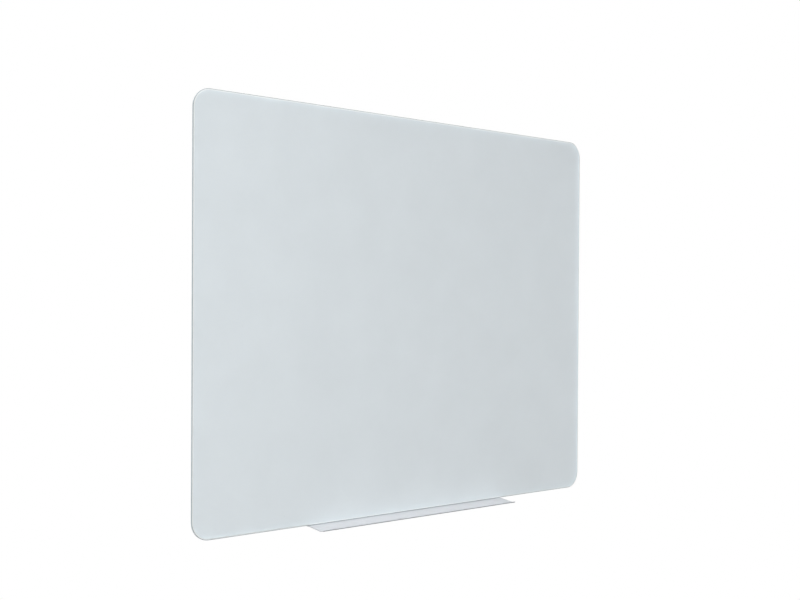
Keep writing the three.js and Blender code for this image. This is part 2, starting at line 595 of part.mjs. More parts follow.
function penTray() {
  const upstandBack = CHANNEL_MIDDLE - TRAY_THICKNESS / 2;
  const upstandFront = upstandBack + TRAY_THICKNESS;
  const shelfRear = GLASS_BOTTOM - TRAY_GLASS_GAP;
  const shelfFront = shelfRear - TRAY_SHELF_DROP;
  const topFace = [
    [upstandFront, SLIDER_TOP - TRAY_UPSTAND_INSET],
    [upstandFront, shelfRear],
    [GLASS_FRONT, shelfRear],
    [GLASS_FRONT + TRAY_SHELF_DEPTH, shelfFront],
    [GLASS_FRONT + TRAY_SHELF_DEPTH + TRAY_LIP_DEPTH, shelfFront + TRAY_LIP_RISE],
  ];
  const section = bentSheet(topFace, TRAY_THICKNESS, TRAY_BEND_RADIUS);
  const holes = pinPlaces().map((x) =>
    levelCylinder(PIN_RADIUS + PIN_CLEARANCE, TRAY_THICKNESS + OVERRUN)
      .translate(x, -CHANNEL_MIDDLE, PIN_HEIGHT));
  addPiece("pen_tray", cut(profileAlongX(section, TRAY_WIDTH), holes), "traySheet");
}

function traySliders() {
  const height = SLIDER_TOP - SLIDER_BOTTOM;
  const slitWidth = TRAY_THICKNESS + SLIDER_SLIT_CLEARANCE * 2;
  const slitHeight = height - TRAY_UPSTAND_INSET + SLIDER_SLIT_CLEARANCE;
  const slit = new THREE.BoxGeometry(SLIDER_LENGTH + OVERRUN * 2, slitWidth, slitHeight + OVERRUN)
    .translate(0, -CHANNEL_MIDDLE, SLIDER_BOTTOM + (slitHeight - OVERRUN) / 2);
  const pinHoles = places(PINS_PER_SLIDER, PIN_SPACING).map((x) =>
    levelCylinder(PIN_RADIUS + PIN_CLEARANCE, SLIDER_WIDTH + OVERRUN)
      .translate(x, -CHANNEL_MIDDLE, PIN_HEIGHT));
  for (const [side, sign] of SIDES) {
    const block = new THREE.BoxGeometry(SLIDER_LENGTH, SLIDER_WIDTH, height)
      .translate(0, -CHANNEL_MIDDLE, (SLIDER_TOP + SLIDER_BOTTOM) / 2);
    const slider = cut(block, [slit, ...pinHoles]);
    addPiece(`tray_slider_${side}`, slider, "nylon", sign * SLIDER_OFFSET);
  }
  pinPlaces().forEach((x, i) => {
    const pin = levelCylinder(PIN_RADIUS, SLIDER_WIDTH);
    addPiece(`slider_pin_${i + 1}`, pin, "screwSteel", x, CHANNEL_MIDDLE, PIN_HEIGHT);
  });
}

wallRail();
lowerCleats();
railStops();
writingPanel();
hookProfiles();
tapes();
levellingScrews();
bumpers();
trayRail();
trayStops();
penTray();
traySliders();

export default board;
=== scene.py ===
"""Glass whiteboard with a sliding pen tray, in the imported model's frame: metres, +Z up, the wall at Y = 0."""

import json
import math

import bmesh
import bpy
from mathutils import Matrix, Vector


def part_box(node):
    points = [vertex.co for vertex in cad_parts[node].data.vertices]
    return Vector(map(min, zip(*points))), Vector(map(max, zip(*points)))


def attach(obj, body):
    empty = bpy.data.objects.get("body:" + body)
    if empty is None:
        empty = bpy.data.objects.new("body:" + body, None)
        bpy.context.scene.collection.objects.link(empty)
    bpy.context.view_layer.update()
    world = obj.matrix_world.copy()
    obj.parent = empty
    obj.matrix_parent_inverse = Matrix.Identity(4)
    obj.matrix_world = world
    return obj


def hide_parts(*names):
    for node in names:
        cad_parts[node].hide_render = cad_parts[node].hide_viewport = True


MM = 0.001

# Glass and the coat behind it
GLASS_CORNER_RADIUS = 40 * MM
GLASS_CORNER_STEPS = 40
ARRIS_WIDTH = 3.2 * MM  # the polished flat along the edge, across the face
ARRIS_DEPTH = 0.6 * MM  # the same flat, through the thickness
ARRIS_ROUND_SHARES = [(1, 0), (0.958, 0.017), (0.906, 0.067), (0.85, 0.15)]
ARRIS_SEAM_SHARE = 0.72  # of the flat's depth, where the painted shade along the edge begins
COAT_INTO_GLASS = 0.05 * MM  # so that no gap shows between the two
GLASS_IOR = 1.5

# Pen tray, one bent sheet
TRAY_THICKNESS = 2 * MM
TRAY_GLASS_GAP = 1.2 * MM
TRAY_SHELF_DEPTH = 35.5 * MM
TRAY_SHELF_DROP = 5.4 * MM
TRAY_LIP_DEPTH = 11.5 * MM
TRAY_LIP_RISE = 1.5 * MM
TRAY_BEND_RADIUS = 2.6 * MM  # at the middle of the sheet
TRAY_BEND_STEPS = 8
TRAY_CORNER_RADIUS = 1 * MM  # of the lip, seen from above
TRAY_CORNER_STEPS = 8
TRAY_EDGE_RADIUS = 0.3 * MM  # all edges are blunted by this
TRAY_EDGE_STEPS = 3
TRAY_END_STEPS = 4
PIN_HOLE_RADIUS = 1.7 * MM
PIN_HOLE_REACH = 20 * MM
PIN_HOLE_STEPS = 32
PIN_COUNT = 4

# Levelling set screw, with a hexagon socket above and a cup point below
SET_SCREW_STEPS = 24
SET_SCREW_PITCH = 0.7 * MM
SET_SCREW_THREAD_DEPTH = 0.4 * MM
SET_SCREW_END_TAPER = 0.5 * MM
SET_SCREW_CUP_RADIUS = 1.25 * MM
SET_SCREW_CUP_DEPTH = 0.7 * MM
SET_SCREW_MOUTH_RADIUS = 1.3 * MM
SET_SCREW_MOUTH_DEPTH = 0.15 * MM
SET_SCREW_SOCKET_HALF = 1 * MM  # from the middle to a flat
SET_SCREW_SOCKET_DEPTH = 3 * MM
SET_SCREW_DRILL_DEPTH = 3.5 * MM
THREAD_RINGS_PER_TURN = 6
POINT_RADIUS = 0.1 * MM  # where a turned shape ends in a point

# Lock nut
NUT_BORE_RADIUS = 2.25 * MM
NUT_BORE_CHAMFER = 0.35 * MM
NUT_SHOULDER_SHARE = 0.97  # of the distance from the middle to a flat
NUT_CORNER_SLOPE = 0.55

# Pan head screw of the tray's end blocks
PAN_SCREW_STEPS = 48
PAN_SCREW_RADIUS = 1.5 * MM
PAN_SCREW_PITCH = 0.8 * MM
PAN_SCREW_THREAD_DEPTH = 0.3 * MM
PAN_SCREW_TIP_RADIUS = 1 * MM
PAN_HEAD_HEIGHT = 1.8 * MM
PAN_HEAD_OUTLINE = [  # share of the head's radius, and height
    (0.72, 0), (0.85, 0.1 * MM), (0.94, 0.3 * MM), (0.99, 0.65 * MM), (1, 1 * MM), (1, PAN_HEAD_HEIGHT),
]
PAN_RECESS_ARM = 1.7 * MM
PAN_RECESS_HALF_WIDTH = 0.45 * MM
PAN_RECESS_FLOOR_ARM = 1.2 * MM
PAN_RECESS_FLOOR_HALF_WIDTH = 0.3 * MM
PAN_RECESS_DEPTH = 0.9 * MM
PAN_RECESS_POINT_DEPTH = 1.1 * MM

# Rubber bumper: radius and distance from the wall in millimetres, from the hollow tip round to the flange
BUMPER_OUTLINE = [
    (0.1, 1.5), (4.4, 1.5), (4.8, 1.35), (5.1, 0.9), (5.5, 0.45), (6.1, 0.3), (7.4, 0.3), (8.1, 0.45),
    (8.6, 0.8), (8.9, 1.3), (9.0, 2.0), (9.1, 4.0), (9.4, 6.4), (9.9, 8.6), (10.5, 10.2), (11.2, 11.1),
    (11.7, 11.6), (11.93, 12.1), (12.0, 12.6), (12.0, 13.8), (11.9, 14.2), (11.6, 14.43), (0.1, 14.45),
]

# Sliders, end blocks and clips, shown as they are with softened edges
BLOCK_EDGE_RADIUS = 0.5 * MM
BLOCK_EDGE_STEPS = 3

# Studio
FLOOR_SIZE = 60
FLOOR_LEVEL = -1.75
WORLD_LEVEL = 0.33  # the light that the sky gives, while it shows as white
WHITE = 1.0

# Camera, solved from the pane's outline in a picture 800 pixels wide
IMAGE_WIDTH = 800
SENSOR_WIDTH = 36
FOCAL_PIXELS = 1236.9
SHIFT_PIXELS = 23.1
CAMERA_X = -1.9601
CAMERA_FROM_GLASS = 2.0616
CAMERA_Z = -0.3656
CAMERA_TURN_DEGREES = -42.937
CAMERA_DIP_DEGREES = 0.668
CAMERA_ROLL_DEGREES = 0.322

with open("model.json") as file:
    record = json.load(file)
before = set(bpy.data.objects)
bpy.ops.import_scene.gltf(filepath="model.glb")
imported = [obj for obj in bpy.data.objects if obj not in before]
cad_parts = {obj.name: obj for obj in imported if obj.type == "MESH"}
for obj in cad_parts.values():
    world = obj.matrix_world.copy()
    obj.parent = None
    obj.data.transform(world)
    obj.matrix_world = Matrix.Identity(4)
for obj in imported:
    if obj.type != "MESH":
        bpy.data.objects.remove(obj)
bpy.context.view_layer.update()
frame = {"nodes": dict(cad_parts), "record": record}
NODES = frame["nodes"]


# Node trees

def new_material(name):
    material = bpy.data.materials.new(name)
    material.use_nodes = True
    tree = material.node_tree
    return material, tree, tree.nodes["Principled BSDF"]


def add(tree, kind, **inputs):
    node = tree.nodes.new(kind)
    for socket, value in inputs.items():
        node.inputs[socket].default_value = value
    return node


def link(tree, out, into):
    tree.links.new(out, into)


def object_coords(tree, scale=(1, 1, 1)):
    coords = tree.nodes.new("ShaderNodeTexCoord")
    mapping = tree.nodes.new("ShaderNodeMapping")
    mapping.inputs["Scale"].default_value = scale
    link(tree, coords.outputs["Object"], mapping.inputs["Vector"])
    return mapping.outputs["Vector"]


def noise(tree, vector, scale, detail=4.0, roughness=0.55):
    node = add(tree, "ShaderNodeTexNoise", Scale=scale, Detail=detail, Roughness=roughness)
    link(tree, vector, node.inputs["Vector"])
    return node.outputs["Fac"]


def ramp(tree, factor, stops):
    node = tree.nodes.new("ShaderNodeValToRGB")
    elements = node.color_ramp.elements
    while len(elements) < len(stops):
        elements.new(0.5)
    for element, (place, colour) in zip(elements, stops):
        element.position = place
        element.color = (*colour, 1.0)
    link(tree, factor, node.inputs["Fac"])
    return node.outputs["Color"]


def spread(tree, factor, low, high):
    node = tree.nodes.new("ShaderNodeMapRange")
    node.inputs["To Min"].default_value = low
    node.inputs["To Max"].default_value = high
    link(tree, factor, node.inputs["Value"])
    return node.outputs["Result"]


def tint(tree, bsdf, factor, dark, pale, stops=(0.3, 0.7)):
    """Colour that runs from dark to pale between two values of the factor."""
    colour = ramp(tree, factor, list(zip(stops, (dark, pale))))
    link(tree, colour, bsdf.inputs["Base Color"])


def roughen(tree, bsdf, factor, low, high):
    """Roughness that runs from low to high with the factor."""
    link(tree, spread(tree, factor, low, high), bsdf.inputs["Roughness"])


def softened_edges(tree, radius):
    node = tree.nodes.new("ShaderNodeBevel")
    node.samples = 4
    node.inputs["Radius"].default_value = radius
    return node.outputs["Normal"]


def relief(tree, bsdf, height, strength, distance, edge_radius=0):
    """Fine relief of the surface. With a radius, the sharp edges under it are softened too."""
    node = add(tree, "ShaderNodeBump", Strength=strength, Distance=distance)
    link(tree, height, node.inputs["Height"])
    if edge_radius:
        link(tree, softened_edges(tree, edge_radius), node.inputs["Normal"])
    link(tree, node.outputs["Normal"], bsdf.inputs["Normal"])


def combined(tree, operation, first, second):
    node = tree.nodes.new("ShaderNodeMath")
    node.operation = operation
    link(tree, first, node.inputs[0])
    link(tree, second, node.inputs[1])
    return node.outputs["Value"]


def srgb(r, g, b):
    """A colour given as 0 to 255, as the linear values that a shader takes."""
    def linear(c):
        c /= 255
        return c / 12.92 if c <= 0.04045 else ((c + 0.055) / 1.055) ** 2.4

    return (linear(r), linear(g), linear(b))


# Materials

def glass():
    material, tree, bsdf = new_material("tempered_glass")
    bsdf.inputs["Base Color"].default_value = (0.985, 1.0, 1.0, 1.0)
    bsdf.inputs["Transmission Weight"].default_value = 1.0
    bsdf.inputs["IOR"].default_value = GLASS_IOR
    wipes = noise(tree, object_coords(tree, (1, 1, 2.4)), scale=5.0, detail=5.0, roughness=0.6)
    roughen(tree, bsdf, wipes, 0.0, 0.03)
    return material


def glass_edge(name, dark, pale, grain, low, high):
    """A band of the glass's edge: the ground side, the seam with its painted shade, and the arris with its
    painted highlight. The last two values are its lowest and its highest roughness.
    """
    material, tree, bsdf = new_material(name)
    marks = noise(tree, object_coords(tree), scale=grain, detail=3.0)
    tint(tree, bsdf, marks, dark, pale)
    roughen(tree, bsdf, marks, low, high)
    bsdf.inputs["IOR"].default_value = GLASS_IOR
    return material


def glass_side():
    return glass_edge("ground_glass_side", srgb(214, 225, 229), srgb(224, 234, 238), 260.0, 0.25, 0.4)


def glass_seam():
    """The outer part of the flat, painted grey: painted shade for the dark line round the pane's edge."""
    return glass_edge("glass_seam_painted_shade", srgb(156, 168, 172), srgb(166, 177, 181), 260.0, 0.25, 0.4)


def glass_arris():
    """The inner part of the flat, painted near white: a painted highlight for the bright line along the pane's
    edge.
    """
    return glass_edge("glass_arris_painted_highlight", srgb(248, 252, 254), srgb(252, 255, 255), 120.0, 0.08, 0.14)


def enamel():
    """White enamel, fused to the glass, so that it has no gloss of its own."""
    material, tree, bsdf = new_material("fired_enamel")
    grain = noise(tree, object_coords(tree), scale=9.0, detail=6.0, roughness=0.6)
    tint(tree, bsdf, grain, srgb(231, 236, 239), srgb(234, 239, 242))
    bsdf.inputs["Roughness"].default_value = 0.6
    bsdf.inputs["Specular IOR Level"].default_value = 0.0
    return material


def film():
    material, tree, bsdf = new_material("adhesive_film")
    cloud = noise(tree, object_coords(tree), scale=30.0, detail=6.0)
    tint(tree, bsdf, cloud, srgb(196, 196, 188), srgb(214, 214, 206))
    roughen(tree, bsdf, cloud, 0.5, 0.7)
    return material


def galvanised():
    """Zinc flakes with ragged edges: the cells' coordinates are pushed about a little by a noise."""
    material, tree, bsdf = new_material("galvanised_sheet")
    vector = object_coords(tree)
    warp = add(tree, "ShaderNodeTexNoise", Scale=170.0, Detail=5.0)
    link(tree, vector, warp.inputs["Vector"])
    pushed = tree.nodes.new("ShaderNodeMix")
    pushed.data_type = "VECTOR"
    pushed.inputs["Factor"].default_value = 0.01
    first_vector, second_vector, result_vector = pushed.inputs[4], pushed.inputs[5], pushed.outputs[1]
    link(tree, vector, first_vector)
    link(tree, warp.outputs["Color"], second_vector)
    flakes = add(tree, "ShaderNodeTexVoronoi", Scale=110.0)
    link(tree, result_vector, flakes.inputs["Vector"])
    chance = tree.nodes.new("ShaderNodeSeparateColor")
    link(tree, flakes.outputs["Color"], chance.inputs["Color"])
    greys = [(0.0, srgb(158, 162, 165)), (0.5, srgb(171, 175, 178)), (1.0, srgb(184, 187, 190))]
    link(tree, ramp(tree, chance.outputs["Red"], greys), bsdf.inputs["Base Color"])
    bsdf.inputs["Metallic"].default_value = 0.85
    roughen(tree, bsdf, chance.outputs["Green"], 0.34, 0.55)
    relief(tree, bsdf, noise(tree, vector, scale=900.0), strength=0.15, distance=0.05 * MM)
    return material


def anodised():
    """Drawn profile: its lines run along X, with a slower change of tone across them."""
    material, tree, bsdf = new_material("anodised_aluminium")
    drawn = noise(tree, object_coords(tree, (6, 900, 900)), scale=1.0, roughness=0.6)
    patina = noise(tree, object_coords(tree, (3, 40, 40)), scale=4.0, roughness=0.6)
    tint(tree, bsdf, patina, srgb(196, 199, 202), srgb(210, 212, 214))
    bsdf.inputs["Metallic"].default_value = 0.9
    roughen(tree, bsdf, drawn, 0.3, 0.46)
    relief(tree, bsdf, drawn, strength=0.25, distance=0.05 * MM, edge_radius=0.3 * MM)
    return material


def powder_coat():
    material, tree, bsdf = new_material("powder_coat")
    vector = object_coords(tree)
    peel = noise(tree, vector, scale=700.0, detail=3.0, roughness=0.5)
    tone = noise(tree, vector, scale=7.0, roughness=0.5)
    tint(tree, bsdf, tone, srgb(218, 221, 225), srgb(223, 225, 229))
    roughen(tree, bsdf, peel, 0.36, 0.48)
    relief(tree, bsdf, peel, strength=0.12, distance=0.1 * MM, edge_radius=0.4 * MM)
    return material


def painted_lip_end_shade():
    """The lip's end in a darker metal grey: painted shade for the dark line along the tray's front."""
    material, tree, bsdf = new_material("lip_end_painted_shade")
    shear = noise(tree, object_coords(tree, (700, 700, 30)), scale=1.0, roughness=0.6)
    tint(tree, bsdf, shear, srgb(140, 143, 148), srgb(158, 161, 166))
    bsdf.inputs["Metallic"].default_value = 0.3
    roughen(tree, bsdf, shear, 0.4, 0.6)
    relief(tree, bsdf, shear, strength=0.3, distance=0.05 * MM)
    return material


def foam():
    material, tree, bsdf = new_material("foam_tape")
    pores = add(tree, "ShaderNodeTexVoronoi", Scale=2200.0)
    link(tree, object_coords(tree), pores.inputs["Vector"])
    tint(tree, bsdf, pores.outputs["Distance"], srgb(44, 46, 48), srgb(72, 75, 78), stops=(0.1, 0.6))
    bsdf.inputs["Roughness"].default_value = 0.9
    relief(tree, bsdf, pores.outputs["Distance"], strength=0.5, distance=0.1 * MM)
    return material


def rubber():
    material, tree, bsdf = new_material("bumper_rubber")
    vector = object_coords(tree)
    grain = noise(tree, vector, scale=1500.0, detail=3.0)
    bloom = noise(tree, vector, scale=90.0, detail=5.0)
    tint(tree, bsdf, bloom, srgb(40, 41, 43), srgb(58, 59, 61), stops=(0.35, 0.7))
    roughen(tree, bsdf, bloom, 0.7, 0.88)
    relief(tree, bsdf, grain, strength=0.3, distance=0.1 * MM)
    return material


def nylon():
    material, tree, bsdf = new_material("moulded_nylon")
    vector = object_coords(tree)
    sheen = noise(tree, vector, scale=120.0)
    tint(tree, bsdf, sheen, srgb(214, 214, 208), srgb(226, 226, 221))
    roughen(tree, bsdf, sheen, 0.42, 0.56)
    grain = noise(tree, vector, scale=1800.0)
    relief(tree, bsdf, grain, strength=0.1, distance=0.1 * MM, edge_radius=0.4 * MM)
    return material


def plated_steel():
    material, tree, bsdf = new_material("plated_steel")
    tone = noise(tree, object_coords(tree), scale=350.0, detail=5.0)
    tint(tree, bsdf, tone, srgb(146, 148, 150), srgb(176, 178, 180))
    bsdf.inputs["Metallic"].default_value = 0.95
    roughen(tree, bsdf, tone, 0.25, 0.42)
    link(tree, softened_edges(tree, 0.15 * MM), bsdf.inputs["Normal"])
    return material


MATERIALS = {
    "glass": glass(),
    "glass_side": glass_side(),
    "glass_seam": glass_seam(),
    "glass_arris": glass_arris(),
    "enamel": enamel(),
    "adhesive": film(),
    "zinc_sheet": galvanised(),
    "aluminium": anodised(),
    "tray_sheet": powder_coat(),
    "tray_edge_painted_shade": painted_lip_end_shade(),
    "foam_tape": foam(),
    "rubber": rubber(),
    "nylon": nylon(),
    "screw_steel": plated_steel(),
}

for part in frame["record"]["subparts"]:
    data = NODES[part["node"]].data
    data.materials.clear()
    data.materials.append(MATERIALS[part["material_slot"]])


# New pieces

def new_piece(name, vertices, faces, slot, body, *nodes, smooth=35):
    mesh = bpy.data.meshes.new(name)
    mesh.from_pydata([Vector(v) for v in vertices], [], faces)
    mesh.validate()
    tidy = bmesh.new()
    tidy.from_mesh(mesh)
    bmesh.ops.recalc_face_normals(tidy, faces=tidy.faces)
    tidy.to_mesh(mesh)
    tidy.free()
    piece = bpy.data.objects.new(name, mesh)
    bpy.context.collection.objects.link(piece)
    mesh.materials.append(MATERIALS[slot])
    mesh.shade_smooth()
    mesh.set_sharp_from_angle(angle=math.radians(smooth))
    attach(piece, body)
    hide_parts(*nodes)
    return piece


def loft(rings, looped=False):
    """Faces through rings of equal length, with a cap at each end or the last ring joined to the first."""
    count = len(rings[0])
    vertices = [point for ring in rings for point in ring]
    faces = []
    for level in range(len(rings) if looped else len(rings) - 1):
        a, b = level * count, (level + 1) % len(rings) * count
        for i in range(count):
            j = (i + 1) % count
            faces.append((a + i, a + j, b + j, b + i))
    if not looped:
        faces.append(tuple(range(count)))
        faces.append(tuple((len(rings) - 1) * count + i for i in range(count)))
    return vertices, faces


def quarter(steps):
    """(inset, depth) shares of a rounded edge, from a face round to the side."""
    angles = [math.pi / 2 * i / steps for i in range(steps + 1)]
    return [(1 - math.sin(angle), 1 - math.cos(angle)) for angle in angles]


def round_cornered(centre_a, centre_b, radius, steps):
    """Places round a rectangle with round corners. The first two values are where its arcs are centred."""
    places = []
    for sign_a, sign_b, start in ((1, 1, 0), (-1, 1, 90), (-1, -1, 180), (1, -1, 270)):
        for i in range(steps + 1):
            angle = math.radians(start + 90 * i / steps)
            a = sign_a * centre_a + radius * math.cos(angle)
            b = sign_b * centre_b + radius * math.sin(angle)
            places.append((a, b))
    return places


def plate_ring(low, high, inset, radius, y):
    """Points round a plate's outline in X and Z, moved inwards by inset."""
    middle_x, middle_z = (low[0] + high[0]) / 2, (low[2] + high[2]) / 2
    centre_x, centre_z = (high[0] - low[0]) / 2 - radius, (high[2] - low[2]) / 2 - radius
    outline = round_cornered(centre_x, centre_z, radius - inset, GLASS_CORNER_STEPS)
    return [(middle_x + a, y, middle_z + b) for a, b in outline]


def arris_shares():
    """(inset, depth) shares of the pane's flat: a slope with the seam on it, rounded alike at both ends."""
    seam = (1 - ARRIS_SEAM_SHARE, ARRIS_SEAM_SHARE)
    return [*ARRIS_ROUND_SHARES, seam, *((deep, inset) for inset, deep in ARRIS_ROUND_SHARES[::-1])]


def glass_pane():
    """The pane. Its faces mirror straight lines because they are flat-shaded, and its edge is smooth."""
    low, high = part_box("glass_pane")
    shares = arris_shares()
    front = [(ARRIS_WIDTH * inset, low[1] + ARRIS_DEPTH * deep) for inset, deep in shares]
    back = [(ARRIS_WIDTH * inset, high[1] - ARRIS_DEPTH * deep) for inset, deep in shares]
    rings = [plate_ring(low, high, inset, GLASS_CORNER_RADIUS, y) for inset, y in front + back[::-1]]
    pane = new_piece("polished_glass", *loft(rings), "glass", "board", "glass_pane", smooth=25)
    # The flat's inner part carries the painted highlight, its outer seam the painted shade; the side is ground
    # glass.
    for name in ("glass_side", "glass_arris", "glass_seam"):
        pane.data.materials.append(MATERIALS[name])
    side, arris, seam = 1, 2, 3
    for face in pane.data.polygons:
        face.use_smooth = len(face.vertices) == 4
        if face.use_smooth:
            depth_share = (face.center.y - low[1]) / ARRIS_DEPTH
            outer = seam if depth_share < 1 else side
            face.material_index = arris if depth_share < ARRIS_SEAM_SHARE else outer
    pane.visible_shadow = False


def enamel_coat():
    low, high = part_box("white_enamel_coat")
    pane_low, pane_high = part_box("glass_pane")
    radius = GLASS_CORNER_RADIUS - (low[0] - pane_low[0])
    rings = [plate_ring(low, high, 0, radius, y) for y in (pane_high[1] - COAT_INTO_GLASS, high[1])]
    new_piece("enamel_layer", *loft(rings), "enamel", "board", "white_enamel_coat")


def tray_top_face():
    """Corners of the sheet's upper face in Y and Z, from the upstand's top to the lip's end."""
    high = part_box("pen_tray")[1]
    pane_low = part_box("glass_pane")[0]
    upstand = high[1] - TRAY_THICKNESS
    level = pane_low[2] - TRAY_GLASS_GAP
    shelf_end = Vector((pane_low[1] - TRAY_SHELF_DEPTH, level - TRAY_SHELF_DROP))
    return [
        Vector((upstand, high[2])),
        Vector((upstand, level)),
        Vector((pane_low[1], level)),
        shelf_end,
        shelf_end + Vector((-TRAY_LIP_DEPTH, TRAY_LIP_RISE)),
    ]


def bent_middle(top_face, thickness, radius, steps):
    """Places in Y and Z along the middle of a bent sheet, each with the direction of its upper face."""
    ways = [(b - a).normalized() for a, b in zip(top_face, top_face[1:])]
    ups = [Vector((way.y, -way.x)) for way in ways]
    middle = []
    for i, point in enumerate(top_face):
        first, second = ups[max(i - 1, 0)], ups[min(i, len(ups) - 1)]
        mitre = (first + second).normalized()
        middle.append(point - mitre * (thickness / 2 / mitre.dot(first)))
    stations = [(middle[0], ups[0])]
    for i in range(1, len(middle) - 1):
        before, after = ways[i - 1], ways[i]
        turn = before.angle(after)
        rising = 1 if before.x * after.y < before.y * after.x else -1
        start = middle[i] - before * (radius * math.tan(turn / 2))
        centre = start + ups[i - 1] * (rising * radius)
        for step in range(steps + 1):
            share = turn * step / steps
            up = (ups[i - 1] * math.sin(turn - share) + ups[i] * math.sin(share)) / math.sin(turn)
            stations.append((centre - up * (rising * radius), up))
    stations.append((middle[-1], ups[-1]))
    return stations


def sheet_ring(place, up, half_width, half_thickness, radius=TRAY_EDGE_RADIUS):
    """A cross-section of the sheet at a place in Y and Z, with blunted edges."""
    outline = round_cornered(half_width - radius, half_thickness - radius, radius, TRAY_EDGE_STEPS)
    return [(x, place.x + up.x * rise, place.y + up.y * rise) for x, rise in outline]


def along(up):
    """The way towards the lip, square to the sheet's upper face."""
    return Vector((-up.y, up.x))


def blunt_end(end, inwards, up, half_width, half_thickness):
    """Rings that blunt an end of the sheet, from the end inwards. Their corners never close up."""
    almost_all = 0.99
    rings = []
    for inset, deep in quarter(TRAY_END_STEPS):
        slim = TRAY_EDGE_RADIUS * inset
        place = end + inwards * (TRAY_EDGE_RADIUS * deep)
        radius = TRAY_EDGE_RADIUS - slim * almost_all
        rings.append(sheet_ring(place, up, half_width - slim, half_thickness - slim, radius))
    return rings


def pen_tray():
    """The tray, drilled for its pins. The upright faces at the lip's end are painted darker, as shade along the
    tray's front.
    """
    low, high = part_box("pen_tray")
    half, thick = (high[0] - low[0]) / 2, TRAY_THICKNESS / 2
    stations = bent_middle(tray_top_face(), TRAY_THICKNESS, TRAY_BEND_RADIUS, TRAY_BEND_STEPS)
    (top, top_up), (lip, lip_up) = stations[0], stations[-1]
    outwards = along(lip_up)
    rings = blunt_end(top, along(top_up), top_up, half, thick)
    rings += [sheet_ring(place, up, half, thick) for place, up in stations[1:-1]]
    for inset, deep in quarter(TRAY_CORNER_STEPS)[::-1]:
        place = lip - outwards * (TRAY_EDGE_RADIUS + TRAY_CORNER_RADIUS * deep)
        rings.append(sheet_ring(place, lip_up, half - TRAY_CORNER_RADIUS * inset, thick))
    rings += blunt_end(lip, -outwards, lip_up, half - TRAY_CORNER_RADIUS, thick)[::-1]
    tray = new_piece("bent_tray", *loft(rings), "tray_sheet", "tray", "pen_tray", smooth=30)
    drill(tray, [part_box(f"slider_pin_{i + 1}") for i in range(PIN_COUNT)], PIN_HOLE_RADIUS)
    # Painted shade: the upright faces round the lip's end take a darker grey.
    tray.data.materials.append(MATERIALS["tray_edge_painted_shade"])
    shaded_end = 1
    shaded_end_from = (lip - outwards * TRAY_CORNER_RADIUS).x
    for face in tray.data.polygons:
        level = abs(face.normal.y * lip_up.x + face.normal.z * lip_up.y)
        if face.center.y < shaded_end_from and level < 0.5:
            face.material_index = shaded_end


def drill(piece, boxes, radius):
    """Round holes along Y through the piece, each centred on a box given by its two corners."""
    mesh = bpy.data.meshes.new("drill")
    tools = bmesh.new()
    for low, high in boxes:
        middle = (low + high) / 2
        turn = Matrix.Translation(middle) @ Matrix.Rotation(math.pi / 2, 4, "X")
        bmesh.ops.create_cone(
            tools, cap_ends=True, segments=PIN_HOLE_STEPS, radius1=radius, radius2=radius,
            depth=PIN_HOLE_REACH, matrix=turn)
    tools.to_mesh(mesh)
    tools.free()
    tool = bpy.data.objects.new("drill", mesh)
    bpy.context.collection.objects.link(tool)
    holes = piece.modifiers.new("holes", "BOOLEAN")
    holes.operation = "DIFFERENCE"
    holes.object = tool
    graph = bpy.context.evaluated_depsgraph_get()
    drilled = bpy.data.meshes.new_from_object(piece.evaluated_get(graph), depsgraph=graph)
    piece.modifiers.clear()
    piece.data = drilled
    bpy.data.objects.remove(tool)


def round_ring(centre, radius, height, axis="Z", steps=48):
    """Points round an axis. The radius is a length, or a function that gives one for each angle."""
    points = []
    for i in range(steps):
        angle = 2 * math.pi * i / steps
        r = radius(angle) if callable(radius) else radius
        a, b = r * math.cos(angle), r * math.sin(angle)
        if axis == "Z":
            points.append((centre[0] + a, centre[1] + b, height))
        else:
            points.append((centre[0] + a, height, centre[2] + b))
    return points


def hexagon(half_flats, turn=0.0):
    """Radius of a hexagon at an angle. half_flats is from its middle to a flat."""
    def radius(angle):
        return half_flats / math.cos((angle + turn + math.pi / 6) % (math.pi / 3) - math.pi / 6)

    return radius


def cross(arm, half_width):
    """Radius of a cross-shaped recess at an angle."""
    never_zero = 1e-6

    def radius(angle):
        c, s = max(abs(math.cos(angle)), never_zero), max(abs(math.sin(angle)), never_zero)
        return max(min(half_width / s, arm / c), min(half_width / c, arm / s))

    return radius


def middle_and_box(node):
    low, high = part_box(node)
    return (low + high) / 2, low, high


def thread(centre, low, high, radius, depth, pitch, end_radius, steps):
    """Rings of a screw thread from low to high. Its ends taper to end_radius."""
    count = round((high - low) / pitch * THREAD_RINGS_PER_TURN)
    rings = []
    for k in range(count + 1):
        z = low + (high - low) * k / count
        taper = end_radius + min(z - low, high - z)

        def crest(angle, z=z, taper=taper):
            turn = (z / pitch - angle / (2 * math.pi)) % 1
            return min(radius - depth * abs(2 * turn - 1), taper)

        rings.append(round_ring(centre, crest, z, steps=steps))
    return rings


def levelling_screw(side):
    node = f"levelling_screw_{side}"
    centre, low, high = middle_and_box(node)
    bottom, top = low[2], high[2]
    radius = (high[0] - low[0]) / 2
    socket = hexagon(SET_SCREW_SOCKET_HALF)

    def ring(size, z):
        return round_ring(centre, size, z, steps=SET_SCREW_STEPS)

    rings = [
        ring(POINT_RADIUS, bottom + SET_SCREW_CUP_DEPTH),
        ring(SET_SCREW_CUP_RADIUS, bottom),
        *thread(
            centre, bottom, top, radius, SET_SCREW_THREAD_DEPTH, SET_SCREW_PITCH,
            end_radius=radius - SET_SCREW_END_TAPER, steps=SET_SCREW_STEPS),
        ring(SET_SCREW_MOUTH_RADIUS, top),
        ring(socket, top - SET_SCREW_MOUTH_DEPTH),
        ring(socket, top - SET_SCREW_SOCKET_DEPTH),
        ring(POINT_RADIUS, top - SET_SCREW_DRILL_DEPTH),
    ]
    new_piece(f"set_screw_{side}", *loft(rings), "screw_steel", node, node)


